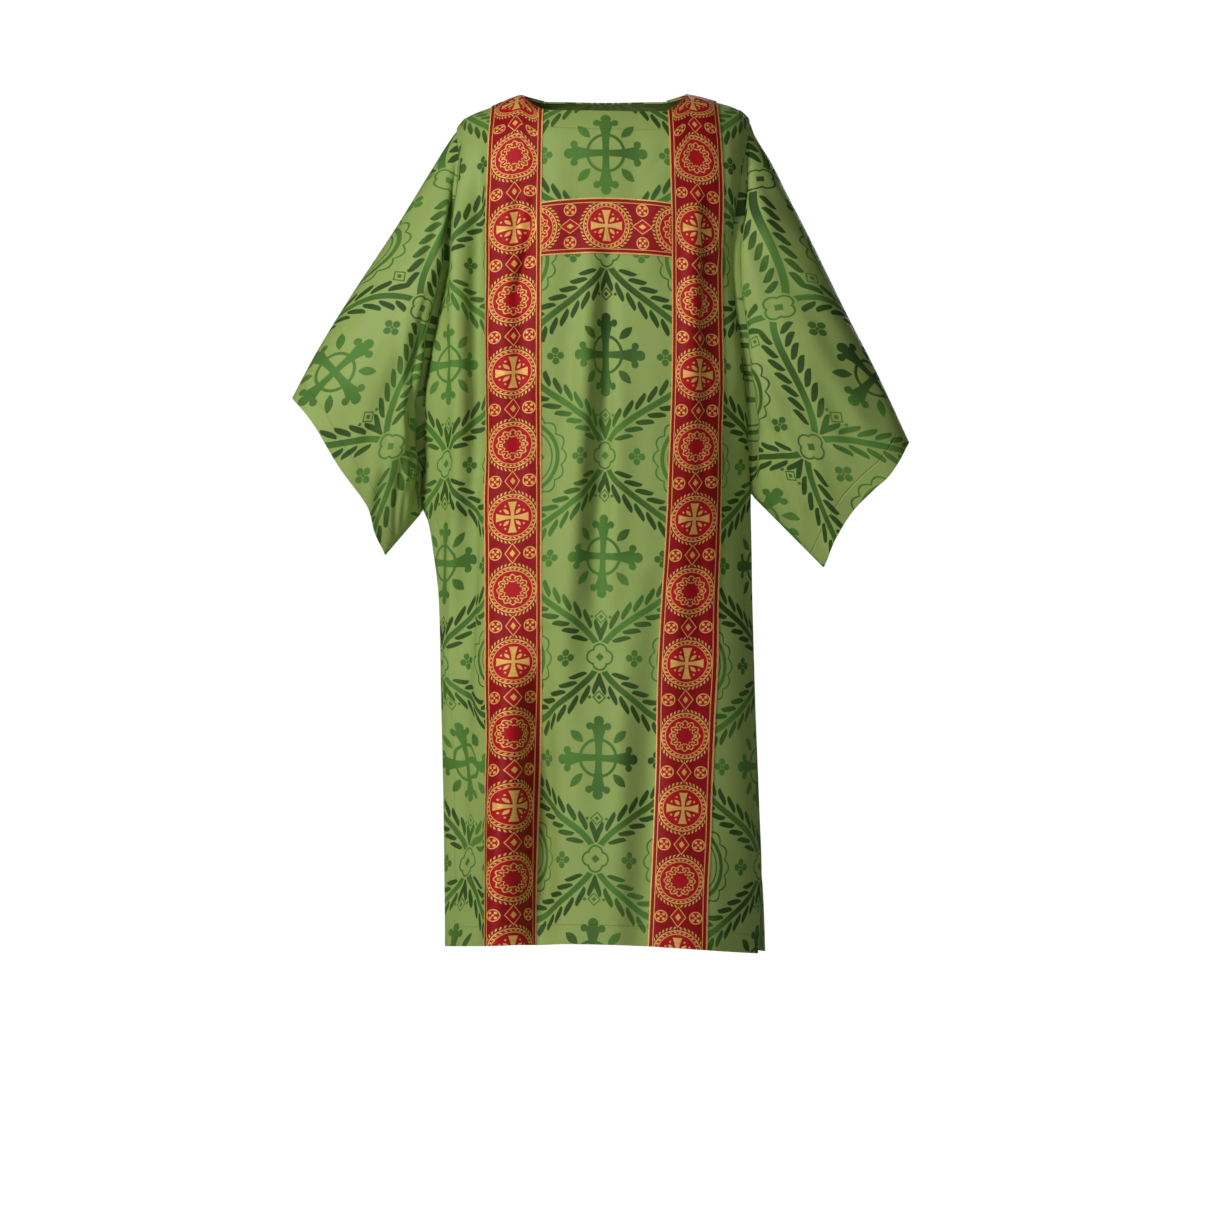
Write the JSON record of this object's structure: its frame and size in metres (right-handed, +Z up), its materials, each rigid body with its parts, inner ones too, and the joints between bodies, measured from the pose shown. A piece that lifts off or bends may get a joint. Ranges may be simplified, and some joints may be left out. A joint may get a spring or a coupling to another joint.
{
  "type": "worn dalmatic",
  "caption": "Hollow worn dalmatic with wide open sleeves, open side slits, upright woven bands front and back and a chest crossband.",
  "frame": {"origin": "middle of the neck opening, level with the tops of the shoulder seams, where the wearer's shoulders carry it", "axes": "+Z up along the garment, front towards -Y, the wearer's right side towards -X"},
  "size_m": [0.8674, 0.2705, 1.2016],
  "materials": {
    "brocade": "soft satin brocade, tone on tone green",
    "band": "woven red and gold band with a slight metallic sheen"
  },
  "bodies": {
    "root": {"front_panel": "brocade", "back_panel": "brocade", "sleeve_right": "brocade", "sleeve_left": "brocade", "front_band_right": "band", "front_band_left": "band", "front_crossband": "band", "back_band_right": "band", "back_band_left": "band"}
  },
  "joints": []
}
